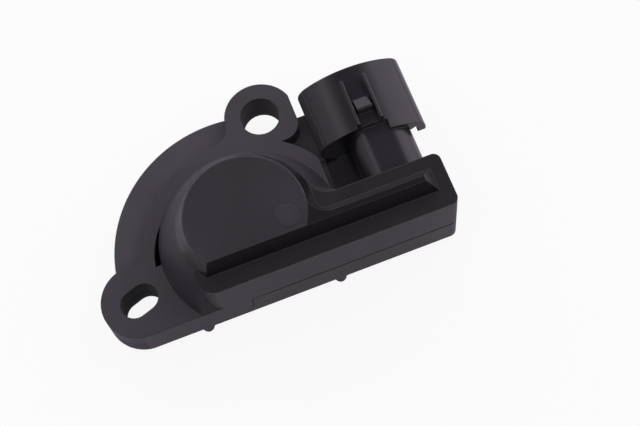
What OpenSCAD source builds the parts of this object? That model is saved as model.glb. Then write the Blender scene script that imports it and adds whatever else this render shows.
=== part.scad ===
// Throttle position sensor: a moulded housing with two fixing ears, a domed rotor chamber,
// a long electrical chamber closed by a back cover, and a three-way sealed connector.
// The origin is on the rotor axis, in the mounting plane. +Z points to the domed front,
// +X runs along the straight edge, and +Y is the way the connector mouth faces.

/* [Mounting flange] */
// Radius of the thin round flange about the rotor axis
flange_r = 29.6; // [28.6:0.1:30.6]
// Thickness of the thin flange
flange_t = 4.1; // [3.4:0.1:5]
// Height of the ear faces above the mounting plane
ledge_z = 8.15; // [7.6:0.05:9]
// Radius of the raised ring that joins the two ears
ledge_r = 22.5; // [22:0.1:23.5]
// Distance from the rotor axis to the long straight edge
edge_y = 12.45; // [12:0.05:13]
// Radius of the hollow corners between the ears and the ring
web_r = 8.4; // [7:0.1:9]
// Place of the flange's straight right edge, beside the connector
flange_right = 20.8; // [20.4:0.1:21.2]
// Height of that edge's corner along Y
flange_corner_y = 24.0; // [23.4:0.1:24.4]
// Where the raised ring ends beside the connector's neck
pocket_x = 19.2; // [18.8:0.1:19.8]

/* [Round ear] */
// Place of the round hole along X
ear_x = 10.9; // [10:0.1:12]
// Place of the round hole along Y
ear_y = 25.45; // [25:0.05:26]
// Outer radius of the ear
ear_r = 7.7; // [7.2:0.1:8.2]
// Radius of the round hole
ear_hole_r = 4.25; // [3.5:0.05:4.6]
// Where the ear is cut straight to clear the harness plug
ear_cut_x = 18.2; // [17.6:0.1:18.5]
// Radius of the corner below the straight cut
ear_turn_r = 4.0; // [3:0.1:4.4]
// Place of that corner along Y
ear_turn_y = 22.2; // [21.6:0.1:22.4]

/* [Slotted ear] */
// Place of the slot along X, to the left of the rotor axis
slot_x = 26.2; // [25.6:0.1:27]
// Place of the slot along Y, below the rotor axis
slot_y = 4.5; // [4:0.1:5]
// Width of the slot
slot_w = 6.0; // [5:0.1:6.6]
// End-to-end length of the slot
slot_len = 8.3; // [7.4:0.1:9.2]
// Turn of the slot from the X axis
slot_turn = 18.6; // [10:0.1:30]

/* [Dome] */
// Height of the flat top above the mounting plane
crest_z = 21.4; // [21:0.1:22.4]
// Radius of the flat top disc
disc_r = 12.6; // [12:0.1:13]
// Outward run of the dome's and the bar's flanks for each millimetre down
flank_run = 0.52; // [0.48:0.01:0.53]
// Round on the rim of the disc
rim_r = 0.5; // [0.2:0.1:0.8]

/* [Bar] */
// Height of the shelf round the crest
shelf_z = 17.9; // [17.4:0.1:18.4]
// Reach of the bar to the right of the rotor axis
bar_reach = 41.2; // [41:0.1:42]
// Reach of the bar's round end to the left of the rotor axis
bar_start = 13.9; // [13.6:0.1:14.4]
// Radius of the bar's front left corner
bar_end_r = 4.0; // [3.6:0.1:4.6]
// Width of the bar across its shelf
bar_w = 11.8; // [11.4:0.1:12]
// Distance from the rotor axis to the crest's front edge
crest_front = 7.1; // [6.8:0.1:7.4]
// Width of the crest's flat top along the bar
crest_w = 1.3; // [1:0.1:2]
// Distance from the bar's right end back to the crest's end
crest_back_off = 5.1; // [4.6:0.1:6.2]
// Outward run of the crest's front slope for each millimetre down
crest_run = 0.46; // [0.4:0.01:0.55]
// Radius of the hollow corner between the disc and the crest
valley_r = 4.5; // [3.8:0.1:5]
// Radius of the hollow corner between the dome and the bar's rear flank
hollow_r = 5.0; // [4:0.1:5.4]
// Radius of the round gate mark on the disc
gate_r = 2.4; // [2:0.1:2.8]
// Radius of the bar's upright corners
bar_corner_r = 1.6; // [1:0.1:2]

/* [Back cover] */
// Height of the joint line between the cover and the housing
cover_t = 7.1; // [6:0.1:7.5]
// Height of the groove that shows as the joint line
joint_gap = 0.2; // [0.1:0.05:0.3]
// Depth of that groove
joint_depth = 0.5; // [0.3:0.1:0.8]
// Where the cover starts, to the left of the rotor axis
cover_start = 4.5; // [3:0.1:5]
// Clearance beside the cover
side_gap = 0.03; // [0.01:0.01:0.06]
// Wall of the housing's chambers and of the cover
wall = 1.9; // [1.6:0.1:2.1]

/* [Pilot] */
// Outer radius of the pilot ring that centres the sensor
pilot_r = 11.0; // [10.8:0.1:11.1]
// Height of the pilot ring and of the two locating pegs
pilot_h = 3.0; // [2.4:0.1:3.6]
// Outer radius of the boss that the back cover curves round
boss_r = 11.4; // [11.2:0.05:11.6]
// Distance of each locating peg from the rotor axis, along X
peg_x = 14.9; // [14.6:0.1:15.6]
// Radius of the locating pegs
peg_r = 1.3; // [1.1:0.05:1.4]
// Hollow round at the root of the pegs
peg_root = 0.7; // [0.4:0.1:0.8]

/* [Connector] */
// Distance from the bar's right end back to the connector's centre
conn_off = 9.8; // [9.4:0.1:10]
// Height of the connector's centre
conn_z = 8.0; // [7.8:0.1:8.4]
// Distance from the rotor axis to the mouth
mouth_y = 26.2; // [25:0.1:27.5]
// Length of the shroud behind the mouth
shroud_len = 14.2; // [13:0.1:14.6]
// Half of the distance between the shroud's end centres
shroud_c = 7.2; // [6.8:0.1:7.4]
// Radius of the shroud's ends
shroud_end_r = 4.3; // [4:0.1:4.6]
// Height of the shroud from its middle to its top
shroud_top = 6.2; // [5.9:0.1:6.6]
// Wall of the shroud
shroud_wall = 1.4; // [1.2:0.1:1.6]
// Distance from the connector's centre to the neck's middle
neck_off = 1.3; // [1.1:0.1:1.5]
// Radius of the neck's rounded sides
neck_r = 4.9; // [4.6:0.1:5]
// Half of the distance between the neck's side centres
neck_c = 1.9; // [1.7:0.1:2]
// Thickness of the floor beside the neck
floor_t = 3.4; // [3.3:0.1:4]
// Width of the lock ramp
ramp_w = 3.3; // [2.8:0.1:3.6]
// Height of the lock ramp above the shroud
ramp_h = 1.9; // [1.4:0.1:2.2]
// Length of the ramp
ramp_len = 3.4; // [2.6:0.1:4]
// Thickness of the two guard ribs beside the ramp
guard_t = 0.9; // [0.7:0.1:1.2]
// Gap between the ramp and each rib
guard_gap = 0.4; // [0.3:0.1:0.8]
// Height of the guard ribs above the shroud
guard_h = 1.7; // [1.2:0.1:1.9]
// Length of the lip that hangs behind the shroud's right side
lip_len = 2.2; // [1.6:0.1:2.4]
// Thickness of the lip
lip_t = 1.6; // [1.4:0.1:1.8]

/* [Terminals] */
// Distance from one terminal to the next
pitch = 4.0; // [3.6:0.1:4.1]
// Width of a terminal blade
blade_w = 1.5; // [1.2:0.1:1.8]
// Thickness of a terminal blade
blade_t = 0.8; // [0.6:0.1:1]
// Distance from the mouth back to the blade tips
blade_back = 4.6; // [4.3:0.1:5]
// Clearance round a blade in its slot
blade_gap = 0.04; // [0.02:0.01:0.08]
// Length of the foot that bears on the element's pad
foot_l = 1.2; // [1:0.1:1.4]
// Height of the potting over the cover's joint line
sealant_t = 2.4; // [2:0.1:2.8]
// Reach of the potting beyond the outer blades
sealant_side = 2.0; // [1.6:0.1:2.2]

/* [Rotor] */
// Radius of the rotor chamber and of its mouth
chamber_r = 9.5; // [9.4:0.1:9.7]
// Width of the bearing ring
ring_w = 3.45; // [3.35:0.05:3.55]
// Running clearance of the journal and the pivot
run_gap = 0.05; // [0.02:0.01:0.09]
// Distance from the chamber's wall to the rotor's contact disc
disc_room = 0.9; // [0.8:0.1:1.1]
// Radius of the pivot at the rotor's front end
pivot_r = 2.0; // [1.8:0.1:2.2]
// Wall of the journal round the drive socket
journal_wall = 1.7; // [1.5:0.1:1.9]
// Depth of the drive socket
socket_depth = 7.0; // [6:0.1:7.2]
// Travel between the two stops, in degrees
travel = 100; // [80:1:105]
// Wire radius of the return spring
wire_r = 0.45; // [0.35:0.05:0.5]
// Distance from the chamber's wall to the middle of the spring's wire
coil_room = 2.5; // [2.2:0.1:2.6]
// Distance from the middle of the spring's wire to the rotor's hub
hub_room = 1.6; // [1.5:0.1:1.8]
// Turns of the return spring
coil_turns = 4; // [3:1:5]

/* [Element] */
// Thickness of the element board
board_t = 1.0; // [0.8:0.1:1.2]
// Clearance round the board
board_gap = 0.3; // [0.2:0.1:0.5]
// Thickness of the printed layers
print_t = 0.04; // [0.03:0.01:0.06]
// Distance from the chamber's wall to the middle of the resistive track
track_room = 2.1; // [2:0.1:2.3]
// Width of both tracks
track_w = 1.5; // [1.3:0.1:1.6]
// Width of a contact pad
pad_w = 2.4; // [2:0.1:2.6]
// Length of a contact pad
pad_l = 2.6; // [2.4:0.1:2.8]

/* [Hidden] */
$fn = 96;
eps = 0.01;
// Small overlap that lets tangent rounds cross instead of only touching
tuck = 0.04;
far = 80;
black = "#2b2a2d";
cover_black = "#303034";

front_y = -edge_y;
back_y = front_y + bar_w;
left_ear_r = edge_y - slot_y + tuck;
left_ear = [-slot_x, -slot_y];
top_ear = [ear_x, ear_y];

// Dome and crest
foot_z = ledge_z;
gate = [7.7, -3.7];
gate_h = 0.12;
crest_h = crest_z - shelf_z;
crest_foot_y = -crest_front - crest_run * crest_h;
crest_back_y = -crest_front + crest_w;
crest_end_x = bar_reach - crest_back_off;
valley_y = crest_back_y + valley_r;
valley_x = sqrt(pow(disc_r + valley_r, 2) - pow(valley_y, 2));
flank_x = pocket_x - 0.2;
hollow_y = back_y + hollow_r;
shelf_dome_r = disc_r + flank_run * crest_h;
hollow_x = sqrt(pow(shelf_dome_r + hollow_r, 2) - pow(hollow_y, 2));

// Side pocket and the core pockets in the back
cut_c = [-4.2, -1.13];
cut_r = 16.7;
cut_z = 2;
cut_y0 = 1.2;
cut_y1 = 12.8;
core_turns = [22:30:172];
core_span = 25;
core_inner = boss_r + 1.8;
core_outer = ledge_r - 6.2;

// Chambers
roof_z = shelf_z - wall;
dome_roof_z = crest_z - wall - 0.3;
chamber_x0 = 2;
chamber_x1 = bar_reach - wall;
chamber_y0 = front_y + wall;
chamber_y1 = back_y - wall;
board_z = roof_z - board_t;
board_x0 = chamber_x0 + board_gap;
board_x1 = chamber_x1 - board_gap;
board_y0 = chamber_y0 + board_gap;
board_w = chamber_y1 - chamber_y0 - 2 * board_gap;
board_r = chamber_r - board_gap;
board_hole_r = pivot_r + 0.6;
track_r = chamber_r - track_room;
collector_r = (board_hole_r + track_r) / 2;

// Rotor, by radius
journal_r = chamber_r - ring_w - run_gap;
socket_r = journal_r - journal_wall;
socket_flat = 0.76;
rotor_disc_r = chamber_r - disc_room;
coil_r = chamber_r - coil_room;
hub_r = coil_r - hub_room;
press_gap = 0.03;

// Rotor stack, from the back to the front
ring_z0 = -1.6;
ring_z1 = 2.4;
seal_r = 0.9;
seal_gap = 0.02;
seal_seat_z = ring_z1 - 2 * seal_r - 0.1;
washer_gap = 0.08;
wave_r = 3.2;
wave_t = 0.24;
washer_room = 0.3;
journal_z0 = -2.6;
shoulder_z0 = 3.3;
shoulder_z1 = 4.3;
disc_z0 = 11.0;
disc_z1 = 12.8;
shoulder_r = chamber_r - 1.1;
post_r = 3.4;
pivot_z = dome_roof_z - 1;
stop_r = chamber_r - 0.6;
spring_z0 = shoulder_z1 + 2 * wire_r + 0.2;
spring_z1 = disc_z0 - 2 * wire_r - 0.2;
leg_turn = 101;
coil_step = 15;
coil_lead = 6;
coil_extra = 13;
coil_tail = 8;
end_turn = leg_turn + coil_lead + coil_step * coil_extra + coil_tail;
leg_gap = 0.12;
leg_reach = 0.8;
leg_lead = 1;
leg_depth = 1.6;
leg_hole = 0.2;
tab_turn = 30;
tab_half = 6;
tab_gap = 0.25;
stop_half = 4;
stop_gap = 1;
brush_turn = 200;
brush_t = 0.2;
plate_turn = 24;
plate_half = 10;
finger_w = 0.36;
finger_step = 0.5;
finger_turn = 20;
finger_flat = 0.5;
finger_hook = 0.1;
track_lead = 8;
track_tail = 12;
touch_gap = 0.06;

// Connector
shroud_h = (pow(shroud_c, 2) - pow(shroud_top - shroud_end_r, 2)) / (2 * (shroud_top - shroud_end_r));
shroud_back_y = mouth_y - shroud_len;
conn_x = bar_reach - conn_off;
neck_x = conn_x + neck_off;
cavity_floor_y = shroud_back_y + 1.8;
flange_step_y = shroud_back_y + 0.2;
floor_x1 = conn_x + shroud_c - 0.6;
floor_lap = 2;
ramp_back = 2.9;
ramp_crest = 0.5;
ramp_foot = 0.3;
lock_root = 1.4;
guard_back = 3.4;
lip_x = shroud_c / 2;
leg_y = back_y - 3.95;

// Distance along the first circle's centre line to where two circles cross, and the crossing itself
function along(a, ra, b, rb) = (pow(ra, 2) - pow(rb, 2) + pow(norm(b - a), 2)) / (2 * norm(b - a));
function crossing(a, ra, b, rb, side) =
    let (d = norm(b - a), u = (b - a) / d, t = along(a, ra, b, rb), h = sqrt(pow(ra, 2) - pow(t, 2)))
    a + u * t + side * h * [-u[1], u[0]];

module slab(z0, z1) {
    translate([0, 0, z0]) linear_extrude(z1 - z0) children();
}

// Extrudes a Y-Z outline along X from x0 to x1
module along_x(x0, x1) {
    translate([x0, 0, 0]) rotate([90, 0, 90]) linear_extrude(x1 - x0) children();
}

// Extrudes an X-Z outline along Y from y0 to y1
module along_y(y0, y1) {
    translate([0, y1, 0]) rotate([90, 0, 0]) linear_extrude(y1 - y0) children();
}

// Part of a ring from angle a0 to angle a1
module ring_part(r0, r1, z0, z1, a0, a1) {
    rotate([0, 0, a0])
        rotate_extrude(angle = a1 - a0)
            translate([r0, z0]) square([r1 - r0, z1 - z0]);
}

// Fills the hollow corner where circle b meets circle a, with an arc of radius r
module web_fill(a, ra, b, rb, r, side) {
    c = crossing(a, ra + r - tuck, b, rb + r - tuck, side);
    difference() {
        polygon([a, c, b]);
        translate(c) circle(r);
    }
}

module bar_outline() {
    r = bar_corner_r;
    end_c = [bar_end_r - bar_start, front_y + bar_end_r - tuck];
    intersection() {
        union() {
            translate(end_c) circle(bar_end_r);
            translate([end_c[0], front_y]) square([bar_reach - r - end_c[0], bar_w]);
            translate([0, front_y + r]) square([bar_reach, bar_w - 2 * r]);
            for (y = [front_y + r, back_y - r])
                translate([bar_reach - r, y]) circle(r);
        }
        translate([-far, front_y]) square([2 * far, bar_w]);
    }
}

// The part of the bar's outline that the cover fills, with gap left beside it
module cover_outline(gap) {
    difference() {
        intersection() {
            bar_outline();
            translate([-cover_start + gap, -far]) square([2 * far, 2 * far]);
        }
        circle(boss_r + gap);
    }
}

module flange_outline() {
    intersection() {
        union() {
            circle(flange_r);
            translate([ear_x, 0]) square([far, flange_corner_y]);
        }
        union() {
            translate([-far, front_y]) square([far + pocket_x, far]);
            translate([0, flange_step_y]) square([flange_right, far]);
        }
    }
    intersection() {
        translate(left_ear) circle(left_ear_r);
        translate([-far, front_y]) square([far, far]);
    }
    intersection() {
        translate(top_ear) circle(ear_r);
        translate([-far, 0]) square([far + ear_cut_x, far]);
    }
}

// The raised level that carries both ears
module ledge_outline() {
    intersection() {
        union() {
            circle(ledge_r);
            translate(left_ear) circle(left_ear_r);
            web_fill([0, 0], ledge_r, left_ear, left_ear_r, web_r, -1);
            polygon([[0, 0], [0, front_y - 1], [-slot_x, front_y - 1], left_ear]);
        }
        translate([-far, front_y]) square([far + pocket_x, far]);
    }
    intersection() {
        union() {
            translate(top_ear) circle(ear_r);
            web_fill([0, 0], ledge_r, top_ear, ear_r, web_r / 2, 1);
            ear_side();
        }
        translate([-far, 0]) square([far + ear_cut_x, far]);
    }
}

// The round ear's right side runs straight down and turns in to the ring
module ear_side() {
    turn_c = [ear_cut_x - ear_turn_r + tuck, ear_turn_y];
    polygon([[0, 0], top_ear, [ear_cut_x + 1, ear_y], [ear_cut_x + 1, ear_turn_y], turn_c]);
    translate(turn_c) circle(ear_turn_r);
}

// Points on an arc about c from angle a0 to angle a1, in n steps
function arc_points(c, r, a0, a1, n) =
    [for (i = [0:n]) let (a = a0 + (a1 - a0) * i / n) c + r * [cos(a), sin(a)]];

// The dome is a cone frustum with a flat top, and its front is cut away to the crest's slope
module dome() {
    lean = atan(flank_run);
    rim_c = [disc_r - rim_r * tan((90 - lean) / 2), crest_z - rim_r];
    foot_r = disc_r + flank_run * (crest_z - foot_z);
    difference() {
        rotate_extrude() polygon(concat(
            [[0, foot_z - 1], [foot_r, foot_z - 1], [foot_r, foot_z]],
            arc_points(rim_c, rim_r, lean, 90, 4),
            [[0, crest_z]]));
        // The front is cut by the crest's slope, and below it by a slope that lands on the edge
        along_x(-far, far) polygon([
            [-crest_front + crest_run, crest_z + 1], [crest_foot_y, shelf_z], [front_y + tuck, foot_z],
            [front_y + tuck, -far], [-far, -far], [-far, crest_z + 1]]);
    }
}

// The narrow crest that runs from the disc along the bar
module crest() {
    low = shelf_z - eps;
    run = crest_run * (crest_h + eps);
    intersection() {
        along_x(0, bar_reach) polygon([
            [-crest_front - run, low], [-crest_front, crest_z],
            [crest_back_y, crest_z], [crest_back_y + run * 1.4, low]]);
        along_y(-far, far) polygon([
            [0, low], [0, crest_z], [crest_end_x, crest_z], [crest_end_x + run * 1.4, low]]);
    }
    // Hollow corner between the disc and the crest
    difference() {
        slab(low, crest_z) polygon([
            [0, 0], [valley_x, valley_y], [valley_x, crest_back_y], [0, crest_back_y]]);
        translate([valley_x, valley_y, low - eps])
            cylinder(h = crest_h + 3 * eps, r1 = valley_r - flank_run * crest_h, r2 = valley_r);
    }
}

// The bar's rear flank down to the raised ring, left of the connector
module flank() {
    drop = shelf_z - ledge_z;
    along_x(0, flank_x) polygon([
        [back_y - 1, shelf_z], [back_y, shelf_z],
        [back_y + flank_run * drop, ledge_z], [back_y - 1, ledge_z]]);
    // Hollow corner between the dome and this flank
    depth = min(drop, 0.95 * hollow_r / flank_run);
    difference() {
        slab(ledge_z - 1, shelf_z) intersection() {
            polygon([[0, 0], [hollow_x, hollow_y], [hollow_x, back_y - 1], [0, back_y - 1]]);
            translate([-far, -far]) square([far + flank_x, 2 * far]);
        }
        translate([hollow_x, hollow_y, shelf_z - depth - eps])
            cylinder(h = depth + 2 * eps, r1 = hollow_r - flank_run * depth, r2 = hollow_r);
    }
}

// Narrow curved pocket between the dome and the slotted ear's web
module side_pocket() {
    slab(cut_z, ledge_z + 1) difference() {
        intersection() {
            translate(cut_c) circle(cut_r);
            translate([-far, cut_y0]) square([far, cut_y1 - cut_y0]);
        }
        circle(disc_r + flank_run * (crest_z - foot_z));
    }
}

// Core pockets in the hidden back of the dome
module core_pockets() {
    for (a = core_turns)
        ring_part(core_inner, core_outer, -1, ledge_z - 1, a, a + core_span);
}

// Oval section of the shroud, taken in from its outside by inset
module oval(inset) {
    big_r = shroud_h + shroud_top - inset;
    meet_x = big_r * shroud_c / norm([shroud_c, shroud_h]);
    intersection() {
        translate([0, -shroud_h]) circle(big_r, $fn = 180);
        translate([0, shroud_h]) circle(big_r, $fn = 180);
        translate([-meet_x, -far]) square([2 * meet_x, 2 * far]);
    }
    for (s = [-1, 1])
        translate([s * shroud_c, 0]) circle(shroud_end_r - inset);
}

module connector_body() {
    translate([conn_x, 0, conn_z]) {
        along_y(shroud_back_y, mouth_y) oval(0);
        lock();
    }
    // Neck between the bar and the shroud
    translate([neck_x, 0, conn_z]) along_y(back_y - 1, shroud_back_y + 1) {
        square([2 * neck_c, 2 * neck_r], center = true);
        for (s = [-1, 1])
            translate([s * neck_c, 0]) circle(neck_r);
    }
    // Floor beside the neck
    slab(0, floor_t) translate([flank_x - floor_lap, back_y - 1])
        square([floor_x1 - flank_x + floor_lap, shroud_back_y - back_y + 2]);
    // Lip that hangs behind the shroud's right side, clear of the neck
    translate([conn_x, 0, conn_z]) along_y(shroud_back_y - lip_len, shroud_back_y + 1) difference() {
        intersection() {
            oval(0);
            translate([lip_x, -1]) square([far, far]);
        }
        oval(lip_t);
    }
}

// Ramp that the harness plug's latch snaps over, between two guard ribs
module lock() {
    root = shroud_top - lock_root;
    ramp_z = shroud_top + ramp_h;
    guard_z = shroud_top + guard_h - guard_t / 2;
    ramp_y0 = shroud_back_y + ramp_back;
    ramp_y1 = ramp_y0 + ramp_len;
    guard_y0 = shroud_back_y;
    guard_y1 = mouth_y - guard_back;
    along_x(-ramp_w / 2, ramp_w / 2) polygon([
        [ramp_y0, root], [ramp_y0, ramp_z], [ramp_y0 + ramp_crest, ramp_z],
        [ramp_y1, shroud_top + ramp_foot], [ramp_y1, root]]);
    for (s = [-1, 1])
        translate([s * (ramp_w / 2 + guard_gap + guard_t / 2), 0, 0]) {
            along_y(guard_y0, guard_y1) translate([-guard_t / 2, root]) square([guard_t, guard_z - root]);
            along_y(guard_y0, guard_y1) translate([0, guard_z]) circle(guard_t / 2);
        }
}

module blade_slots() {
    for (i = [-1:1])
        translate([conn_x + i * pitch, 0, conn_z])
            along_y(chamber_y1 - 1, cavity_floor_y + 1)
                square([blade_w + 2 * blade_gap, blade_t + 2 * blade_gap], center = true);
}

// Round locating peg with a hollow root, flush with the straight edge
module peg(x) {
    tip_r = peg_r * 0.35;
    intersection() {
        translate([x, front_y + peg_r - tuck, 0]) rotate_extrude() polygon(concat(
            [[0, 1], [peg_r + peg_root, 1]],
            arc_points([peg_r + peg_root, -peg_root], peg_root, 90, 180, 4),
            arc_points([peg_r - tip_r, tip_r - pilot_h], tip_r, 0, -90, 3),
            [[0, -pilot_h]]));
        translate([-far, front_y, -far]) cube(2 * far);
    }
}

module housing() {
    color(black) difference() {
        union() {
            slab(0, flange_t) flange_outline();
            slab(0, ledge_z) ledge_outline();
            slab(0, shelf_z) bar_outline();
            dome();
            crest();
            flank();
            connector_body();
            translate([0, 0, -pilot_h]) cylinder(h = pilot_h + 1, r = pilot_r);
            peg(-peg_x);
            // Faint round gate mark on the flat top
            slab(crest_z - 1, crest_z + gate_h) translate(gate) circle(gate_r);
        }
        // Fixing holes
        translate([ear_x, ear_y, -1]) cylinder(h = ledge_z + 2, r = ear_hole_r);
        slab(-1, ledge_z + 1) translate(left_ear) rotate(slot_turn) slot_outline();
        side_pocket();
        core_pockets();
        // Rotor chamber, electrical chamber and the space of the back cover
        difference() {
            translate([0, 0, -pilot_h - 1]) cylinder(h = roof_z + pilot_h + 1, r = chamber_r);
            stops();
        }
        translate([0, 0, roof_z - 1]) cylinder(h = pivot_z + 0.2 - roof_z + 1, r = pivot_r + run_gap);
        roof_recess();
        translate([chamber_x0, chamber_y0, cover_t - eps])
            cube([chamber_x1 - chamber_x0, chamber_y1 - chamber_y0, roof_z - cover_t + eps]);
        slab(-1, cover_t) cover_outline(0);
        spring_notch();
        // Connector cavity and the slots of the three blades
        translate([conn_x, 0, conn_z]) along_y(cavity_floor_y, mouth_y + 1) oval(shroud_wall);
        blade_slots();
    }
}

module slot_outline() {
    half = (slot_len - slot_w) / 2;
    square([2 * half, slot_w], center = true);
    for (s = [-1, 1])
        translate([s * half, 0]) circle(slot_w / 2);
}

// Two stops on the chamber wall that the rotor's tab meets at the ends of its travel
module stops() {
    off = tab_half + stop_half + stop_gap;
    for (a = [tab_turn - off, tab_turn + travel + off])
        ring_part(stop_r, chamber_r + 1, disc_z0 - 0.4, disc_z1 + 0.4, a - stop_half, a + stop_half);
}

// Space above the element board, left round the boss that carries the rotor's pivot
module roof_recess() {
    slab(roof_z - eps, dome_roof_z) difference() {
        intersection() {
            circle(board_r - 0.8);
            translate([-far, -crest_front + wall]) square([2 * far, far]);
        }
        circle(post_r);
    }
}

module spring_notch() {
    ring_part(chamber_r - 1, chamber_r + 1.2, spring_z0 - 2 * wire_r, spring_z0 + 2 * wire_r,
        leg_turn - 5, leg_turn + 5);
}

// Tray-shaped cover moulded in the same plastic and welded on at the joint line
module back_cover() {
    color(cover_black) difference() {
        union() {
            slab(0, cover_t - joint_gap) cover_outline(side_gap);
            // Inside the groove the cover reaches up to the housing
            slab(cover_t - joint_gap - eps, cover_t) intersection() {
                cover_outline(side_gap);
                translate([-far, front_y + joint_depth])
                    square([far + bar_reach - joint_depth, bar_w - 2 * joint_depth]);
            }
            peg(peg_x);
        }
        slab(wall, cover_t + 1) difference() {
            translate([0, chamber_y0]) square([chamber_x1, chamber_y1 - chamber_y0]);
            circle(boss_r + side_gap + wall);
        }
    }
}

// Ring pressed into the chamber's mouth: rear bearing and seat of the seal
module bearing_ring() {
    color("#4a4a4f") rotate_extrude() polygon([
        [journal_r + run_gap, ring_z0], [chamber_r - press_gap, ring_z0], [chamber_r - press_gap, ring_z1],
        [journal_r + 2 * seal_r, ring_z1], [journal_r + 2 * seal_r, seal_seat_z],
        [journal_r + run_gap, seal_seat_z]]);
}

module rotor_seal() {
    color("#1d1d1d") rotate_extrude()
        translate([journal_r + seal_r, seal_seat_z + seal_r]) circle(seal_r - seal_gap, $fn = 48);
}

// Washer that takes up the rotor's end play
module wave_washer() {
    color("silver") difference() {
        translate([0, 0, ring_z1 + seal_gap])
            cylinder(h = shoulder_z0 - ring_z1 - seal_gap - washer_gap, r = shoulder_r);
        slab(ring_z1 - 1, shoulder_z1) circle(journal_r + washer_room);
        for (a = [0:120:240]) {
            rotate([0, 0, a]) along_x(-far, far) wave_gap(1);
            rotate([0, 0, a + 60]) along_x(-far, far) wave_gap(-1);
        }
    }
}

module wave_gap(side) {
    mid = (ring_z1 + shoulder_z0) / 2;
    translate([0, mid + side * (wave_r + wave_t / 2)]) circle(wave_r, $fn = 60);
}

// Drive rotor: journal with the socket at the back, contact disc and pivot at the front
module rotor() {
    color("#e8e2d0") difference() {
        union() {
            translate([0, 0, journal_z0]) cylinder(h = shoulder_z0 - journal_z0 + eps, r = journal_r);
            translate([0, 0, shoulder_z0]) cylinder(h = shoulder_z1 - shoulder_z0, r = shoulder_r);
            translate([0, 0, shoulder_z1 - eps]) cylinder(h = disc_z0 - shoulder_z1 + 2 * eps, r = hub_r);
            translate([0, 0, disc_z0]) cylinder(h = disc_z1 - disc_z0, r = rotor_disc_r);
            translate([0, 0, disc_z1 - eps]) cylinder(h = pivot_z - disc_z1, r = pivot_r);
            ring_part(rotor_disc_r - 0.5, chamber_r - tab_gap, disc_z0, disc_z1,
                tab_turn - tab_half, tab_turn + tab_half);
        }
        difference() {
            translate([0, 0, journal_z0 - 1]) cylinder(h = socket_depth + 1, r = socket_r);
            translate([socket_r * socket_flat, -far / 2, journal_z0 - 2]) cube([far, far, far]);
        }
        // Hole in the hub for the spring's inner leg
        rotate([0, 0, end_turn]) translate([hub_r - leg_depth - leg_hole, 0, spring_z1]) rotate([0, 90, 0])
            cylinder(h = leg_depth + 1, r = wire_r + leg_gap);
    }
}

// Stamped spring brush: a plate on the disc and two rows of raised fingers
module wiper_brush() {
    base = disc_z1 + 0.02;
    rise = board_z - print_t - touch_gap - base;
    color("#c9a24a") rotate([0, 0, brush_turn]) {
        ring_part(pivot_r + 1, rotor_disc_r - 0.1, base, base + brush_t,
            -plate_turn - plate_half, plate_half - plate_turn);
        for (row = [collector_r, track_r])
            for (k = [-1:1])
                translate([row + finger_step * k, 0, 0]) finger(base, rise, row + finger_step * k);
    }
}

module finger(base, rise, r) {
    root = -r * sin(finger_turn);
    top = base + rise;
    low = top - brush_t;
    end = finger_flat + finger_hook;
    along_x(-finger_w / 2, finger_w / 2) polygon([
        [root, base], [root, base + brush_t], [-finger_flat, top], [finger_hook, top],
        [end, top - finger_flat], [finger_flat, top - end], [0, low],
        [finger_hook - finger_flat, low], [root + finger_flat, base]]);
}

// Centre line of the return spring: lower leg, coils and upper leg
module return_spring() {
    color("lightsteelblue") spring_wire(spring_points());
}

function polar(r, a, z) = [r * cos(a), r * sin(a), z];

function spring_points() =
    let (n = 360 / coil_step * coil_turns + coil_extra)
    concat(
        [polar(chamber_r + leg_reach, leg_turn, spring_z0), polar(coil_r + leg_lead, leg_turn, spring_z0)],
        [for (i = [0:n])
            polar(coil_r, leg_turn + coil_lead + coil_step * i, spring_z0 + (spring_z1 - spring_z0) * i / n)],
        [polar(coil_r - leg_lead, end_turn, spring_z1), polar(hub_r - leg_depth, end_turn, spring_z1)]);

function unit(v) = v / norm(v);
function heading(p, i) = unit(p[min(i + 1, len(p) - 1)] - p[max(i - 1, 0)]);
function across(h) = unit(cross(h, [0, 0, 1]));

module spring_wire(p) {
    sides = 8;
    rings = [for (i = [0:len(p) - 1]) let (h = heading(p, i), u = across(h), v = cross(h, u))
        for (k = [0:sides - 1]) p[i] + wire_r * (cos(45 * k) * u + sin(45 * k) * v)];
    last = len(p) - 1;
    polyhedron(rings, concat(
        [[for (k = [0:sides - 1]) k]],
        [for (i = [0:last - 1]) for (k = [0:sides - 1])
            [i * sides + k, (i + 1) * sides + k,
             (i + 1) * sides + (k + 1) % sides, i * sides + (k + 1) % sides]],
        [[for (k = [0:sides - 1]) last * sides + sides - 1 - k]]));
}

module board_outline() {
    difference() {
        union() {
            circle(board_r);
            translate([board_x0, board_y0]) square([board_x1 - board_x0, board_w]);
        }
        circle(board_hole_r);
    }
}

module element_board() {
    color("#d9d4c8") slab(board_z, roof_z - 0.01) board_outline();
}

// The two printed tracks and the pads are thin layers on the board's back face
module resistive_track() {
    color("#333333") ring_part(track_r - track_w / 2, track_r + track_w / 2, board_z - print_t, board_z,
        brush_turn - track_lead, brush_turn + travel + track_tail);
}

module collector_track() {
    color("#b8b8b0") ring_part(collector_r - track_w / 2, collector_r + track_w / 2,
        board_z - print_t, board_z, brush_turn - track_lead, brush_turn + travel + track_tail);
}

// Pad under the foot of one terminal
module pad(i) {
    color("#c8c8c4") slab(board_z - print_t, board_z)
        translate([conn_x + i * pitch - pad_w / 2, leg_y + 1 - pad_l]) square([pad_w, pad_l]);
}

module pad_supply() { pad(-1); }
module pad_signal() { pad(0); }
module pad_ground() { pad(1); }

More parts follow.
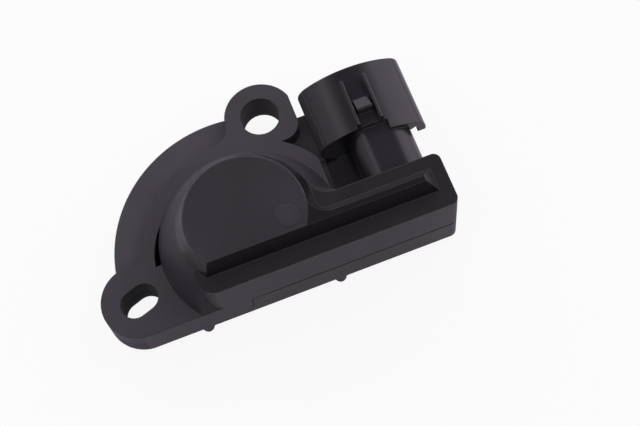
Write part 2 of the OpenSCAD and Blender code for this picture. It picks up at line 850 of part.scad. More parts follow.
// Blade in the connector, bent up inside the chamber to a foot that bears on its pad
module terminal(i) {
    tip = mouth_y - blade_back;
    top = board_z - print_t - 0.01;
    color("#d8c27a") translate([conn_x + i * pitch, 0, 0]) {
        along_y(leg_y, tip - 1) translate([0, conn_z]) square([blade_w, blade_t], center = true);
        along_x(-blade_w / 2, blade_w / 2) polygon([
            [tip - 1 - eps, conn_z - blade_t / 2], [tip, conn_z - blade_t / 5],
            [tip, conn_z + blade_t / 5], [tip - 1 - eps, conn_z + blade_t / 2]]);
        along_x(-blade_w / 2, blade_w / 2) polygon([
            [leg_y, conn_z - blade_t / 2], [leg_y + blade_t, conn_z - blade_t / 2], [leg_y + blade_t, top],
            [leg_y - foot_l, top], [leg_y - foot_l, top - blade_t], [leg_y, top - blade_t]]);
    }
}

module terminal_supply() { terminal(-1); }
module terminal_signal() { terminal(0); }
module terminal_ground() { terminal(1); }

// Potting that seals the blades where they enter the chamber
module terminal_sealant() {
    color("#3a2f28") difference() {
        translate([conn_x - pitch - sealant_side, leg_y + blade_t + blade_gap, cover_t + blade_gap])
            cube([2 * (pitch + sealant_side), chamber_y1 - leg_y - blade_t - 2 * blade_gap, sealant_t]);
        for (i = [-1:1])
            translate([conn_x + i * pitch, 0, conn_z]) along_y(-far, far)
                square([blade_w + 2 * blade_gap, blade_t + 2 * blade_gap], center = true);
    }
}

housing();
back_cover();
bearing_ring();
rotor_seal();
wave_washer();
rotor();
wiper_brush();
return_spring();
element_board();
resistive_track();
collector_track();
pad_supply();
pad_signal();
pad_ground();
terminal_supply();
terminal_signal();
terminal_ground();
terminal_sealant();
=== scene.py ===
import math

import bpy
import numpy as np
from mathutils import Matrix, Vector


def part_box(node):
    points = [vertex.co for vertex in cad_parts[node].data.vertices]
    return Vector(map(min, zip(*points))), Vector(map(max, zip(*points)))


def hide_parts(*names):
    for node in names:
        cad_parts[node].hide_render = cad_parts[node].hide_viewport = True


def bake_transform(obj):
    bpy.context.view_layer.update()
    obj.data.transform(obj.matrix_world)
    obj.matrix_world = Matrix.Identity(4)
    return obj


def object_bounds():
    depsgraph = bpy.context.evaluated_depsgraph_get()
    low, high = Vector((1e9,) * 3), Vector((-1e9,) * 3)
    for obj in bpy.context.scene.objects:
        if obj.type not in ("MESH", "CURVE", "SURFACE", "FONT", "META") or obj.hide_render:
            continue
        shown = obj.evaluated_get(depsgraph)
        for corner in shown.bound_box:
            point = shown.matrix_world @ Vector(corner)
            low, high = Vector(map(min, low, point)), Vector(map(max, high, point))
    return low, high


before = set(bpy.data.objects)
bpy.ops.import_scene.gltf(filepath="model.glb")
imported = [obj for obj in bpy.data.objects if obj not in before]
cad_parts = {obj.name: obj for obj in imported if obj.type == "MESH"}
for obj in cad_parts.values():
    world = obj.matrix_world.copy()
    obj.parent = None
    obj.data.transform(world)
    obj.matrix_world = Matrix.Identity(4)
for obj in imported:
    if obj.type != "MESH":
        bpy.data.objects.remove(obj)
cad_low, cad_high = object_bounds()
MM = 0.001

# Camera
# The photograph was taken from about 0.3 m, steeply from above the straight edge, with the part
# turned so that its long edge runs up to the right. The place, the aim and the roll come from
# fitting the part's outlines to the photograph.
EYE = Vector((-7.01, -109.41, 282.54)) * MM
AIM = Vector((15.05, -0.27, 8.0)) * MM
ROLL = math.radians(-22.23)
LENS_MM = 80.01
SENSOR_MM = 36.0


def add(name, data):
    """A new object with that data, in the scene."""
    made = bpy.data.objects.new(name, data)
    bpy.context.scene.collection.objects.link(made)
    return made


camera_data = bpy.data.cameras.new("camera")
camera_data.lens = LENS_MM
camera_data.sensor_width = SENSOR_MM
camera_data.clip_start, camera_data.clip_end = 0.01, 20.0
camera = add("camera", camera_data)
forward = (AIM - EYE).normalized()
side = forward.cross(Vector((0, 1, 0))).normalized()
upward = side.cross(forward)
level = Matrix((side, upward, -forward)).transposed().to_4x4()
camera.matrix_world = Matrix.Translation(EYE) @ level @ Matrix.Rotation(ROLL, 4, "Z")
bpy.context.scene.camera = camera
bpy.context.scene.view_settings.view_transform = "Standard"


# Studio
# A pale table under the part and a pale room round it. What the camera itself sees of both is
# white, and from below the table is clear. The plastic mirrors the room's bright ceiling and
# window, the dim patches between them, and the table, which is shaded at its near end.
class Socket:
    """One output of a shader node. Operators on it add Math nodes to the same tree."""

    def __init__(self, tree, output):
        self.tree = tree
        self.output = output

    def node(self, kind, settings=None, **values):
        """Adds any node: settings are set first, then each input takes a value or a link.

        An input is named with _ for a space, or with i and its number.
        """
        made = self.tree.nodes.new(kind)
        for name, value in (settings or {}).items():
            setattr(made, name, value)
        for name, value in values.items():
            key = int(name[1:]) if name[0] == "i" and name[1:].isdigit() else name.replace("_", " ")
            entry = made.inputs[key]
            if isinstance(value, Socket):
                self.tree.links.new(value.output, entry)
            else:
                entry.default_value = value
        return made

    def out(self, kind, settings=None, output=0, **values):
        """Adds any node and gives one of its outputs."""
        return Socket(self.tree, self.node(kind, settings, **values).outputs[output])

    def maths(self, operation, other=None, flipped=False):
        """A Math node on this socket and, where it needs two, on other. flipped puts other first."""
        pair = (other, self) if flipped else (self, other)
        values = {f"i{k}": v for k, v in enumerate(pair) if v is not None}
        return self.out("ShaderNodeMath", {"operation": operation}, **values)

    def __add__(self, other):
        return self.maths("ADD", other)

    def __sub__(self, other):
        return self.maths("SUBTRACT", other)

    def __rsub__(self, other):
        return self.maths("SUBTRACT", other, flipped=True)

    def __mul__(self, other):
        return self.maths("MULTIPLY", other)

    __radd__ = __add__
    __rmul__ = __mul__

    def between(self, low, high):
        """0 below low, 1 above high, and a smooth step from one to the other."""
        settings = {"interpolation_type": "SMOOTHSTEP"}
        return self.out("ShaderNodeMapRange", settings, Value=self, From_Min=low, From_Max=high)

    def past(self, edge, width=0.1 * MM):
        """0 up to edge, and 1 from a soft step of that width beyond it."""
        return self.between(edge, edge + width)

    def mix(self, low, high):
        """A colour that goes from low to high as this socket goes from 0 to 1."""
        return self.out("ShaderNodeMix", {"data_type": "RGBA"}, 2, i0=self, i6=low, i7=high)

    def apart(self):
        """The three numbers of a vector."""
        split = self.node("ShaderNodeSeparateXYZ", Vector=self)
        return [Socket(self.tree, split.outputs[k]) for k in range(3)]

    def noise(self, scale, detail=2.0, stretch=(1, 1, 1)):
        """Soft noise of about 0 to 1, with scale in cycles for each metre."""
        there = self.out("ShaderNodeMapping", Vector=self, Scale=stretch)
        return self.out("ShaderNodeTexNoise", Vector=there, Scale=scale, Detail=detail)


def start(tree):
    """Empties a node tree and gives its Object coordinates as a Socket."""
    tree.nodes.clear()
    return Socket(tree, tree.nodes.new("ShaderNodeTexCoord").outputs["Object"])


# Each stretch of the room is a direction, and the cosines of the angles to its edge and its heart.
CEILING = ((0.06, 0.38, 0.92), 0.3, 0.7)
WINDOW = ((0.92, 0.1, 0.38), 0.55, 0.92)
DIM_OVERHEAD = ((0.06, 0.38, 0.92), 0.82, 0.96)
DIM_LEFT = ((-0.70, 0.38, 0.60), 0.95, 0.99)
BEHIND_CAMERA = ((0.0, -0.97, 0.25), 0.6, 0.95)
FRONT_LEFT = ((-0.75, -0.66, 0.05), 0.82, 0.96)
WINDOW_SHARE = 0.85
DIM_LEFT_SHARE = 0.65
ROOM_COLOUR = (0.40, 0.38, 0.42, 1)
LIGHT_COLOUR = (1.5, 1.38, 1.54, 1)
DIM_COLOUR = (0.195, 0.178, 0.205, 1)
DARK_COLOUR = (0.09, 0.084, 0.093, 1)
WHITE = (1, 1, 1, 1)

world = bpy.data.worlds.new("room")
world.use_nodes = True
bpy.context.scene.world = world
anywhere = start(world.node_tree)
direction = Socket(world.node_tree, anywhere.output.node.outputs["Generated"])


def lobe(axis, edge, heart):
    """1 for directions near axis and 0 away from it: edge and heart are cosines."""
    nearness = direction.out("ShaderNodeVectorMath", {"operation": "DOT_PRODUCT"}, 1, i0=direction, i1=axis)
    return nearness.between(edge, heart)


light = lobe(*CEILING) + lobe(*WINDOW) * WINDOW_SHARE
dim = lobe(*DIM_OVERHEAD).maths("MAXIMUM", lobe(*DIM_LEFT) * DIM_LEFT_SHARE)
dark = lobe(*BEHIND_CAMERA).maths("MAXIMUM", lobe(*FRONT_LEFT))
room = dark.mix(dim.mix(light.mix(ROOM_COLOUR, LIGHT_COLOUR), DIM_COLOUR), DARK_COLOUR)
path = anywhere.node("ShaderNodeLightPath")
seen = Socket(world.node_tree, path.outputs["Is Camera Ray"])
background = anywhere.out("ShaderNodeBackground", Color=seen.mix(room, WHITE), Strength=1.0)
anywhere.node("ShaderNodeOutputWorld", Surface=background)

TABLE_HALF = 1.5
TABLE_GAP = 0.02 * MM
TABLE_COLOUR = (0.80, 0.78, 0.81, 1)
SHADE_COLOUR = (0.18, 0.16, 0.18, 1)
SHADE_Y = (-44 * MM, -24 * MM)
SEEN_GLOW = 0.9
MIRRORED_GLOW = 0.07

table_z = cad_low.z - TABLE_GAP
corners = [(x * TABLE_HALF, y * TABLE_HALF, table_z) for x, y in ((-1, -1), (1, -1), (1, 1), (-1, 1))]
table_mesh = bpy.data.meshes.new("table")
table_mesh.from_pydata(corners, [], [(0, 1, 2, 3)])
add("table", table_mesh)
table_look = bpy.data.materials.new("table")
table_look.use_nodes = True
spot = start(table_look.node_tree)
rays = spot.node("ShaderNodeLightPath")
camera_ray = Socket(spot.tree, rays.outputs["Is Camera Ray"])
glossy_ray = Socket(spot.tree, rays.outputs["Is Glossy Ray"])
underneath = Socket(spot.tree, spot.node("ShaderNodeNewGeometry").outputs["Backfacing"])
lit = spot.apart()[1].between(*SHADE_Y)
tint = (lit + camera_ray).maths("MINIMUM", 1.0).mix(SHADE_COLOUR, TABLE_COLOUR)
paper = spot.out("ShaderNodeBsdfDiffuse", Color=tint)
glow = spot.out("ShaderNodeEmission", Color=WHITE, Strength=1.0)
glowing = camera_ray * SEEN_GLOW + glossy_ray * lit * MIRRORED_GLOW
top_side = spot.out("ShaderNodeMixShader", i0=glowing, i1=paper, i2=glow)
clear = spot.out("ShaderNodeBsdfTransparent")
shown = spot.out("ShaderNodeMixShader", i0=underneath, i1=top_side, i2=clear)
spot.node("ShaderNodeOutputMaterial", Surface=shown)
table_mesh.materials.append(table_look)

LAMP_PLACE = Vector((-0.05, 0.55, 0.35))
LAMP_SIZE = (0.5, 0.35)
LAMP_WATTS = 0.4

lamp_data = bpy.data.lights.new("softbox", "AREA")
lamp_data.shape = "RECTANGLE"
lamp_data.size, lamp_data.size_y = LAMP_SIZE
lamp_data.energy = LAMP_WATTS
lamp = add("softbox", lamp_data)
lamp.location = LAMP_PLACE
lamp.rotation_euler = LAMP_PLACE.to_track_quat("Z", "Y").to_euler()

# Housing
# One black moulding in glass-filled nylon. The mould was fine spark-eroded on the flange, ears and
# dome and polished along the bar and the connector, so those stretches take the light differently.
# Flow marks show as soft changes of tone and gloss, and a little dust lies on it.
HOUSING_COLOUR = (0.0105, 0.0092, 0.0118, 1)
FROSTED_COLOUR = (0.048, 0.040, 0.052, 1)
FROSTED_COOLER = (0.043, 0.044, 0.046, 1)
POLISHED_COLOUR = (0.0050, 0.0043, 0.0055, 1)
DUST_COLOUR = (0.13, 0.125, 0.135, 1)
# Painted shade: the dark colour laid along the joint crease between housing and cover.
JOINT_SHADE_COLOUR = (0.002, 0.002, 0.002, 1)
PALER = 1.4
EDGE_ROUND = 0.2 * MM
EDGE_SAMPLES = 8
GRAIN_HEIGHT = 0.02 * MM
BAR_POLISH = 0.24
BAR_POLISH_Y = -7.1 * MM
BAR_POLISH_Z = 17.6 * MM
BAR_END = 41.2 * MM
DISC_R = 12.65 * MM
PLUG_POLISH = 0.22
CONNECTOR_X = 20.5 * MM
CONNECTOR_Y = -0.6 * MM
FROST = 0.25
RING_SHARE = 0.42
FLANGE_TOP = 4.2 * MM
CONE_TOP = 21.0 * MM
FRONT_Y = -12.4 * MM
GATE = (7.7 * MM, -3.7 * MM)
GATE_R = 2.4 * MM
GATE_PALER = 0.25
JOINT_Z = 7.0 * MM
JOINT_HALF = (0.14 * MM, 0.30 * MM)
JOINT_FADE = 7.0 * MM
COVER_START = -4.5 * MM
COVER_SIDE_HALF = (0.10 * MM, 0.25 * MM)
COVER_SIDE_SHARE = 0.4


def blank(name):
    """A new material and the Object coordinates in it."""
    look = bpy.data.materials.new(name)
    look.use_nodes = True
    return look, start(look.node_tree)


def relief(place, height, depth, strength=1.0, edge=EDGE_ROUND / 2):
    """Bump of that depth in metres, over edges that look rounded by edge."""
    rounded = place.out("ShaderNodeBevel", {"samples": EDGE_SAMPLES}, Radius=edge)
    return place.out("ShaderNodeBump", Strength=strength, Distance=depth, Height=height, Normal=rounded)


def surface(place, **values):
    """Closes a material with one Principled shader."""
    body = place.out("ShaderNodeBsdfPrincipled", **values)
    place.node("ShaderNodeOutputMaterial", Surface=body)


def from_axis(place):
    """Distance from the rotor axis."""
    x, y, z = place.apart()
    return (x * x + y * y).maths("SQRT")


def bar_zone(place):
    """1 on the bar's shelf and crest outside the dome's disc, 0 elsewhere."""
    x, y, z = place.apart()
    on_disc = (1.0 - from_axis(place).past(DISC_R)) * y.past(BAR_POLISH_Y)
    return z.past(BAR_POLISH_Z) * (1.0 - on_disc)


def plug_zone(place):
    """1 on the connector and its neck, 0 elsewhere."""
    x, y, z = place.apart()
    return x.past(CONNECTOR_X, 0.2 * MM) * y.past(CONNECTOR_Y)


def frosted_zone(place):
    """1 on the thin flange, RING_SHARE on the ring, ears and cone, 0 on the disc and the front wall."""
    x, y, z = place.apart()
    flange = 1.0 - z.past(FLANGE_TOP, 0.4 * MM)
    ring = (1.0 - z.between(CONE_TOP - 0.5 * MM, CONE_TOP)) * RING_SHARE
    return flange.maths("MAXIMUM", ring) * y.past(FRONT_Y, 0.2 * MM)


def gate_mark(place):
    """1 on the round gate mark, which is a little paler than the disc round it."""
    x, y, z = place.apart()
    off_x, off_y = x - GATE[0], y - GATE[1]
    apart = (off_x * off_x + off_y * off_y).maths("SQRT")
    return (1.0 - apart.between(0.4 * GATE_R, 1.1 * GATE_R)) * z.past(CONE_TOP, 0.3 * MM)


def painted_joint_shade(place):
    """1 on the joint line between housing and cover, along the front wall and the right end.

    This is painted shade in the crease. It fades in from the cover's left end, where a fainter line runs
    down the cover's side.
    """
    x, y, z = place.apart()
    on_front = 1.0 - y.past(FRONT_Y, 0.2 * MM)
    on_end = x.past(BAR_END - 0.4 * MM, 0.2 * MM) * (1.0 - y.past(CONNECTOR_Y))
    line = 1.0 - (z - JOINT_Z).maths("ABSOLUTE").between(*JOINT_HALF)
    line = line * x.past(COVER_START, JOINT_FADE)
    down = 1.0 - (x - COVER_START).maths("ABSOLUTE").between(*COVER_SIDE_HALF)
    down = down * (1.0 - z.past(JOINT_Z)) * COVER_SIDE_SHARE
    return line.maths("MAXIMUM", down) * on_front.maths("MAXIMUM", on_end)


def moulded_plastic(name, colour, roughness, grain, zoned=False):
    """Satin plastic: flow marks, cloudy gloss, fine spark-eroded grain, dust, and edges worn soft.

    zoned adds the housing's polished bar and connector, its frosted stretches and its gate mark.
    """
    look, place = blank(name)
    flow = place.noise(60.0, 3.0)
    cloud = place.noise(320.0)
    fine = place.noise(4200.0)
    dust = place.out("ShaderNodeTexVoronoi", {"feature": "F1"}, Vector=place, Scale=900.0)
    speck = (1.0 - dust.between(0.04, 0.11)) * place.noise(150.0).between(0.62, 0.7)
    pale = tuple(c * PALER for c in colour[:3]) + (1,)
    tone = flow.between(0.3, 0.7).mix(colour, pale)
    gloss = roughness + (flow - 0.5) * 0.10 + (cloud - 0.5) * 0.06 + speck * 0.3
    if zoned:
        bar, plug = bar_zone(place), plug_zone(place)
        frost = frosted_zone(place) * (1.0 - plug)
        frosted = place.noise(110.0, 3.0).between(0.35, 0.65).mix(FROSTED_COLOUR, FROSTED_COOLER)
        patchy = frost * (flow.between(0.2, 0.65) * 0.6 + 0.5)
        tone = (patchy + gate_mark(place) * GATE_PALER).mix(tone, frosted)
        tone = (bar * 0.8).mix(tone, POLISHED_COLOUR)
        gloss = gloss - bar * BAR_POLISH - plug * PLUG_POLISH + frost * FROST
        fine = fine * (1.0 - (bar + plug) * 0.7)
    # Painted shade along the joint crease: darker and duller where shade falls between housing and cover.
    joint = painted_joint_shade(place)
    tone = joint.mix((speck * 0.5).mix(tone, DUST_COLOUR), JOINT_SHADE_COLOUR)
    gloss = gloss + joint * (1.0 - roughness)
    bump = relief(place, fine, GRAIN_HEIGHT, grain, EDGE_ROUND)
    surface(place, Base_Color=tone, Roughness=gloss, Normal=bump)
    return look


def dress(node, look):
    """Gives a CAD node its material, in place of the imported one."""
    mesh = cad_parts[node].data
    mesh.materials.clear()
    mesh.materials.append(look)


dress("housing", moulded_plastic("housing_nylon", HOUSING_COLOUR, 0.46, 0.35, zoned=True))

# Back cover
# A tray in the same nylon from another mould, welded on round its edge. It came out a little
# greener than the housing, and painted shade darkens the crease of the joint.
COVER_COLOUR = (0.0105, 0.0105, 0.0112, 1)
dress("back_cover", moulded_plastic("cover_nylon", COVER_COLOUR, 0.45, 0.3))

# Bearing ring
# A plain bush turned from natural acetal rod and pressed into the mouth of the rotor chamber. The
# tool left fine rings on its faces, and the journal has polished the bore.
ACETAL_COLOUR = (0.56, 0.53, 0.46, 1)
ACETAL_SHADE = (0.44, 0.40, 0.33, 1)
TOOL_PITCH = 0.16 * MM


def turned_acetal():
    """Waxy off-white plastic: turning rings one tool feed apart, and a shade of grease near the bore."""
    look, place = blank("turned_acetal")
    radius = from_axis(place)
    rings = (radius * (math.tau / TOOL_PITCH)).maths("SINE") * 0.5 + 0.5
    cloud = place.noise(240.0, 3.0)
    greasy = 1.0 - radius.between(6.2 * MM, 7.8 * MM)
    tone = (cloud.between(0.35, 0.75) * 0.5 + greasy * 0.5).mix(ACETAL_COLOUR, ACETAL_SHADE)
    gloss = 0.36 + (cloud - 0.5) * 0.2 - greasy * 0.1
    surface(place, Base_Color=tone, Roughness=gloss, Subsurface_Weight=0.12, Subsurface_Scale=0.001,
            Normal=relief(place, rings + cloud * 0.6, 0.004 * MM))
    return look


dress("bearing_ring", turned_acetal())

# Rotor seal
# A nitrile rubber ring of round section in the bearing ring's seat, where it closes on the journal.
# It has a dull bloom, and a film of grease where it runs on the journal.
RUBBER_COLOUR = (0.012, 0.012, 0.0125, 1)
BLOOM_COLOUR = (0.045, 0.045, 0.048, 1)


def greased_rubber():
    """Black rubber: grey bloom in clouds, fine skin texture, and gloss where grease lies near the axis."""
    look, place = blank("greased_rubber")
    cloud = place.noise(500.0, 4.0)
    skin = place.noise(3800.0, 2.0)
    film = 1.0 - from_axis(place).between(6.3 * MM, 7.0 * MM)
    tone = (cloud.between(0.45, 0.75) * (1.0 - film)).mix(RUBBER_COLOUR, BLOOM_COLOUR)
    surface(place, Base_Color=tone, Roughness=0.62 + (cloud - 0.5) * 0.2 - film * 0.35,
            Normal=relief(place, skin, 0.01 * MM, 0.5))
    return look


dress("rotor_seal", greased_rubber())

# Wave washer
# Blanked from hard spring steel strip, pressed into waves and tumbled bright. The CAD solid is a
# flat ring with six notches in place of the waves. The strip's straight rolling lines show under
# the tumbling marks, with a faint straw tint from tempering.
STEEL_COLOUR = (0.60, 0.59, 0.57, 1)
STRAW_COLOUR = (0.56, 0.49, 0.38, 1)


def rolled_steel():
    """Bright strip: rolling lines along X, tumbling dints, straw tint in clouds."""
    look, place = blank("rolled_steel")
    lines = place.noise(900.0, 3.0, stretch=(0.06, 1, 1))
    dints = place.noise(2600.0, 2.0)
    cloud = place.noise(130.0, 2.0)
    surface(place, Base_Color=cloud.between(0.4, 0.75).mix(STEEL_COLOUR, STRAW_COLOUR), Metallic=1.0,
            Roughness=0.24 + lines * 0.16, Normal=relief(place, lines + dints * 0.5, 0.004 * MM))
    return look


dress("wave_washer", rolled_steel())

# Rotor
# Moulded in natural glass-filled polyester, which is cream with fine fibres at its skin. The journal
# is the smoothest part of it, and grease darkens it where it runs in the bearing ring.
ROTOR_COLOUR = (0.62, 0.56, 0.43, 1)
ROTOR_SHADE = (0.46, 0.39, 0.26, 1)
FIBRE_COLOUR = (0.74, 0.70, 0.60, 1)
FIBRE_TURN = 1.2 * MM
JOURNAL_TOP = 3.3 * MM


def cream_polyester():
    """Cream plastic: short pale fibres drawn round the axis, flow clouds, and a greased journal."""
    look, place = blank("cream_polyester")
    x, y, z = place.apart()
    around = place.out("ShaderNodeCombineXYZ", X=from_axis(place), Y=y.maths("ARCTAN2", x) * FIBRE_TURN, Z=z)
    fibres = around.noise(5200.0, 2.0, stretch=(1, 0.16, 1)).between(0.56, 0.68)
    cloud = place.noise(180.0, 4.0)
    journal = 1.0 - z.between(JOURNAL_TOP - 0.3 * MM, JOURNAL_TOP)
    tone = (cloud.between(0.35, 0.7) * 0.6 + journal * 0.25).mix(ROTOR_COLOUR, ROTOR_SHADE)
    tone = (fibres * 0.55).mix(tone, FIBRE_COLOUR)
    surface(place, Base_Color=tone, Roughness=0.44 + (cloud - 0.5) * 0.16 - journal * 0.14,
            Subsurface_Weight=0.08, Subsurface_Scale=0.001, Normal=relief(place, fibres, 0.006 * MM, 0.6))
    return look


dress("rotor", cream_polyester())

# Wiper brush
# Blanked from a springy copper alloy strip with a pale precious-metal inlay, staked on the contact
# disc. Its fingers are bent up in two rows, and their tips are polished by the tracks.
BRUSH_COLOUR = (0.72, 0.50, 0.24, 1)
BRUSH_DARK = (0.50, 0.31, 0.13, 1)
BRUSH_TIP = (0.80, 0.72, 0.58, 1)


def spring_bronze():
    """Warm metal: rolling lines, slightly tarnished on the plate, paler and smoother at the tips."""
    look, place = blank("spring_bronze")
    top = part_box("wiper_brush")[1].z
    lines = place.noise(2400.0, 3.0, stretch=(1, 0.08, 1))
    tarnish = place.noise(520.0, 4.0).between(0.4, 0.7)
    tip = place.apart()[2].between(top - 0.7 * MM, top - 0.1 * MM)
    tone = tip.mix(tarnish.mix(BRUSH_COLOUR, BRUSH_DARK), BRUSH_TIP)
    surface(place, Base_Color=tone, Metallic=1.0, Roughness=0.3 + lines * 0.14 + tarnish * 0.1 - tip * 0.14,
            Normal=relief(place, lines, 0.002 * MM))
    return look


dress("wiper_brush", spring_bronze())

# Return spring
# Torsion spring of hard-drawn wire, coiled round the rotor's hub. The lower leg lies in the
# housing's notch and the upper one in a hole in the hub, so it winds up as the rotor turns.
WIRE_COLOUR = (0.42, 0.43, 0.45, 1)
FILM_COLOUR = (0.20, 0.21, 0.23, 1)
WIRE_R = 0.45 * MM
COIL_R = 7.0 * MM
OUTER_END_R = 10.3 * MM
INNER_END_R = 3.8 * MM
LEG_LEAD = 1.0 * MM
OUTER_LEG = math.radians(101)
INNER_LEG = math.radians(310)
LEG_GIVE = math.radians(7)
COIL_TURNS = 4
BEND_SPAN = 0.9 * MM
WIRE_SIDES = 16
COIL_POINTS = 460
spring_low, spring_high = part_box("return_spring")


def spring_path():
    """Centre line of the spring: a straight leg, a helix of constant pitch, and a second straight leg.

    The points are spaced evenly along the line, then averaged over BEND_SPAN, which rounds both bends.
    """
    z0, z1 = spring_low.z + WIRE_R, spring_high.z - WIRE_R
    sweep = COIL_TURNS * math.tau + INNER_LEG - OUTER_LEG - 2 * LEG_GIVE
    along = np.linspace(0.0, 1.0, COIL_POINTS)
    angle = OUTER_LEG + LEG_GIVE + sweep * along
    coil = np.stack([COIL_R * np.cos(angle), COIL_R * np.sin(angle), z0 + (z1 - z0) * along], axis=1)

    def leg(radius, turn, z):
        return np.array([[radius * math.cos(turn), radius * math.sin(turn), z]])

    corners = np.concatenate([
        leg(OUTER_END_R, OUTER_LEG, z0), leg(COIL_R + LEG_LEAD, OUTER_LEG, z0), coil,
        leg(COIL_R - LEG_LEAD, INNER_LEG, z1), leg(INNER_END_R, INNER_LEG, z1)])
    reach = np.concatenate([[0.0], np.cumsum(np.linalg.norm(np.diff(corners, axis=0), axis=1))])
    even = np.linspace(0.0, reach[-1], COIL_POINTS * 2)
    spaced = np.stack([np.interp(even, reach, corners[:, k]) for k in range(3)], axis=1)
    span = int(BEND_SPAN / even[1]) | 1
    half = span // 2
    before = 2 * spaced[0] - spaced[half:0:-1]
    after = 2 * spaced[-1] - spaced[-2:-half - 2:-1]
    padded = np.concatenate([before, spaced, after])
    kernel = np.full(span, 1.0 / span)
    return np.stack([np.convolve(padded[:, k], kernel, "valid") for k in range(3)], axis=1)


def swept_wire(name, path, radius, sides):
    """Round wire along a path: a circle of that radius set square to the path at each point.

    Both ends are closed by a small flat. Its UV map runs round the wire and along it, in metres.
    """
    heading = np.gradient(path, axis=0)
    heading /= np.linalg.norm(heading, axis=1)[:, None]
    across = np.cross(heading, (0.0, 0.0, 1.0))
    across /= np.linalg.norm(across, axis=1)[:, None]
    over = np.cross(across, heading)
    turn = np.arange(sides) * math.tau / sides
    swell = np.full(len(path), radius)
    swell[0] = swell[-1] = radius * 0.8
    rings = path[:, None] + swell[:, None, None] * (
        np.cos(turn)[None, :, None] * across[:, None] + np.sin(turn)[None, :, None] * over[:, None])
    points = np.concatenate([rings.reshape(-1, 3), path[:1], path[-1:]])
    ring, spoke = np.meshgrid(np.arange(len(path) - 1), np.arange(sides), indexing="ij")
    following = (spoke + 1) % sides
    quads = np.stack([ring * sides + spoke, ring * sides + following,
                      (ring + 1) * sides + following, (ring + 1) * sides + spoke], axis=-1).reshape(-1, 4)
    side = np.arange(sides)
    last = (len(path) - 1) * sides
    head = np.stack([np.full(sides, len(points) - 2), (side + 1) % sides, side], axis=1)
    tail = np.stack([np.full(sides, len(points) - 1), last + side, last + (side + 1) % sides], axis=1)
    mesh = bpy.data.meshes.new(name)
    mesh.from_pydata(points.tolist(), [], quads.tolist() + head.tolist() + tail.tolist())
    step = np.linalg.norm(path[1] - path[0])
    corner = np.empty(len(mesh.loops), dtype=np.int32)
    mesh.loops.foreach_get("vertex_index", corner)
    where = np.minimum(corner // sides, len(path) - 1)
    uv = np.stack([(corner % sides) * math.tau * radius / sides, where * step], axis=1)
    mesh.uv_layers.new(name="wire").data.foreach_set("uv", uv.astype(np.float32).ravel())
    mesh.shade_smooth()
    return add(name, mesh)


def drawn_wire():
    """Grey spring wire: fine die lines along its length and a thin oily phosphate film in patches."""
    look, place = blank("drawn_wire")
    along = Socket(place.tree, place.node("ShaderNodeUVMap").outputs["UV"])
    lines = along.noise(9000.0, 2.0, stretch=(1, 0.02, 1))
    film = place.noise(420.0, 3.0).between(0.42, 0.68)
    surface(place, Base_Color=film.mix(WIRE_COLOUR, FILM_COLOUR), Metallic=1.0,
            Roughness=0.26 + lines * 0.12 + film * 0.14, Normal=relief(place, lines, 0.003 * MM))
    return look


spring = swept_wire("torsion_spring", spring_path(), WIRE_R, WIRE_SIDES)
spring.data.materials.append(drawn_wire())
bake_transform(spring)
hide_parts("return_spring")

# Element board
# A fired ceramic plate that carries the tracks, scribed and snapped from a larger sheet. It is
# off-white and slightly grainy.
CERAMIC_COLOUR = (0.66, 0.63, 0.56, 1)
CERAMIC_SHADE = (0.50, 0.47, 0.41, 1)


def fired_ceramic():
    """Off-white ceramic: small dark grains, faint clouds and a fine pitted skin."""
    look, place = blank("fired_ceramic")
    grain = place.noise(3600.0, 2.0)
    shade = grain.between(0.55, 0.75) * 0.6 + place.noise(90.0, 3.0).between(0.4, 0.7) * 0.3
    surface(place, Base_Color=shade.mix(CERAMIC_COLOUR, CERAMIC_SHADE), Roughness=0.48 + (grain - 0.5) * 0.3,
            Normal=relief(place, grain, 0.006 * MM, 0.5))
    return look


dress("element_board", fired_ceramic())

# Printed tracks and pads
# Screen-printed on the board and cured: carbon ink for the resistive track, silver ink for the
# collector track and the three pads. The brush has worn three bright lines along each track.
CARBON_COLOUR = (0.014, 0.014, 0.015, 1)
CARBON_SHADE = (0.0112, 0.0112, 0.012, 1)
CARBON_WORN = (0.05, 0.05, 0.053, 1)
SILVER_COLOUR = (0.64, 0.62, 0.58, 1)
SILVER_SHADE = (0.512, 0.496, 0.464, 1)
SILVER_WORN = (0.74, 0.73, 0.71, 1)
FINGER_STEP = 0.5 * MM
FINGER_HALF = 0.18 * MM


def middle_radius(node):
    """Radius of the middle of a track, from the vertices of its node."""
    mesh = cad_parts[node].data
    points = np.empty(len(mesh.vertices) * 3)
    mesh.vertices.foreach_get("co", points)
    radii = np.hypot(*points.reshape(-1, 3)[:, :2].T)
    return float(radii.min() + radii.max()) / 2


def worn_line(place, radius):
    """1 along the line that one finger wears in a track, at that radius round the rotor axis."""
    off = (from_axis(place) - radius).maths("ABSOLUTE")
    return 1.0 - off.between(FINGER_HALF / 2, FINGER_HALF)


def printed_ink(name, colour, shade, roughness, worn=None, track=None, metallic=1.0):
    """Cured ink with a screen mesh in it. On a track the worn lines are paler and smoother."""
    look, place = blank(name)
    weave = place.noise(3000.0, 2.0)
    tone = place.noise(300.0, 3.0).between(0.3, 0.8).mix(colour, shade)
    gloss = roughness + (weave - 0.5) * 0.2
    if track:
        middle = middle_radius(track)
        lines = worn_line(place, middle)
        for radius in (middle - FINGER_STEP, middle + FINGER_STEP):
            lines = lines.maths("MAXIMUM", worn_line(place, radius))
        tone = lines.mix(tone, worn)
        gloss = gloss - lines * 0.18
        weave = weave * (1.0 - lines * 0.8)
    surface(place, Base_Color=tone, Metallic=metallic, Roughness=gloss,
            Normal=relief(place, weave, 0.004 * MM))
    return look


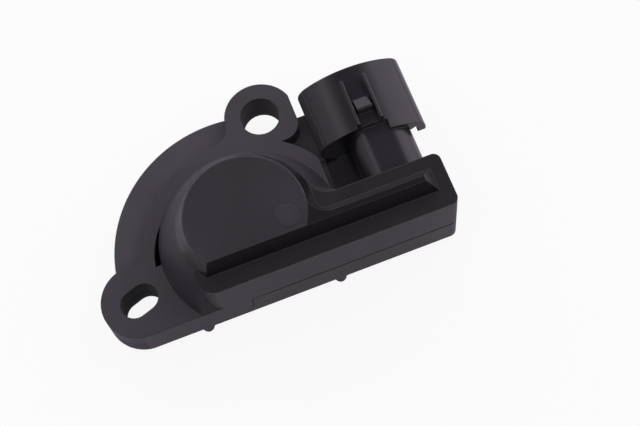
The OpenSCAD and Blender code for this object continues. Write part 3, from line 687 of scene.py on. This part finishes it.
dress("resistive_track", printed_ink("carbon_ink", CARBON_COLOUR, CARBON_SHADE, 0.5,
                                     CARBON_WORN, "resistive_track", metallic=0.0))
dress("collector_track", printed_ink("silver_track_ink", SILVER_COLOUR, SILVER_SHADE, 0.42,
                                     SILVER_WORN, "collector_track"))
silver_pads = printed_ink("silver_pad_ink", SILVER_COLOUR, SILVER_SHADE, 0.45)
for wire in ("supply", "signal", "ground"):
    dress(f"pad_{wire}", silver_pads)

# Terminals
# Three blades blanked from brass strip and tin plated, bent up to a foot inside the chamber. The
# tin is satin grey, and a mating plug has rubbed bright lines along the ends in the connector.
TIN_COLOUR = (0.58, 0.575, 0.56, 1)
TIN_DULL = (0.40, 0.39, 0.38, 1)
RUBBED_Y = 15.5 * MM


def tinned_brass():
    """Satin tin: dull clouds, strip lines along Y, and plug rubs from RUBBED_Y to the tip."""
    look, place = blank("tinned_brass")
    cloud = place.noise(700.0, 3.0)
    lines = place.noise(4200.0, 3.0, stretch=(1, 0.04, 1))
    rubbed = place.apart()[1].past(RUBBED_Y, 2 * MM) * lines.between(0.45, 0.6)
    tone = (cloud.between(0.4, 0.7) * (1.0 - rubbed)).mix(TIN_COLOUR, TIN_DULL)
    surface(place, Base_Color=tone, Metallic=1.0, Roughness=0.36 + (cloud - 0.5) * 0.2 - rubbed * 0.14,
            Normal=relief(place, lines, 0.003 * MM))
    return look


tin = tinned_brass()
for wire in ("supply", "signal", "ground"):
    dress(f"terminal_{wire}", tin)

# Terminal sealant
# Black casting resin poured round the blades from the back. It cured glossy, with a few pin holes
# and a dusty skin.
RESIN_COLOUR = (0.010, 0.010, 0.011, 1)


def cast_resin():
    """Glossy black resin: slow waves, small pin holes and a little dust."""
    look, place = blank("cast_resin")
    wave = place.noise(260.0, 1.0)
    cells = place.out("ShaderNodeTexVoronoi", {"feature": "F1"}, Vector=place, Scale=1500.0)
    holes = cells.between(0.05, 0.14)
    dusty = place.noise(900.0, 3.0).between(0.5, 0.75)
    surface(place, Base_Color=(dusty * 0.5).mix(RESIN_COLOUR, DUST_COLOUR), Roughness=0.2 + dusty * 0.25,
            Normal=relief(place, wave + holes * 0.5, 0.02 * MM, 0.5))
    return look


dress("terminal_sealant", cast_resin())
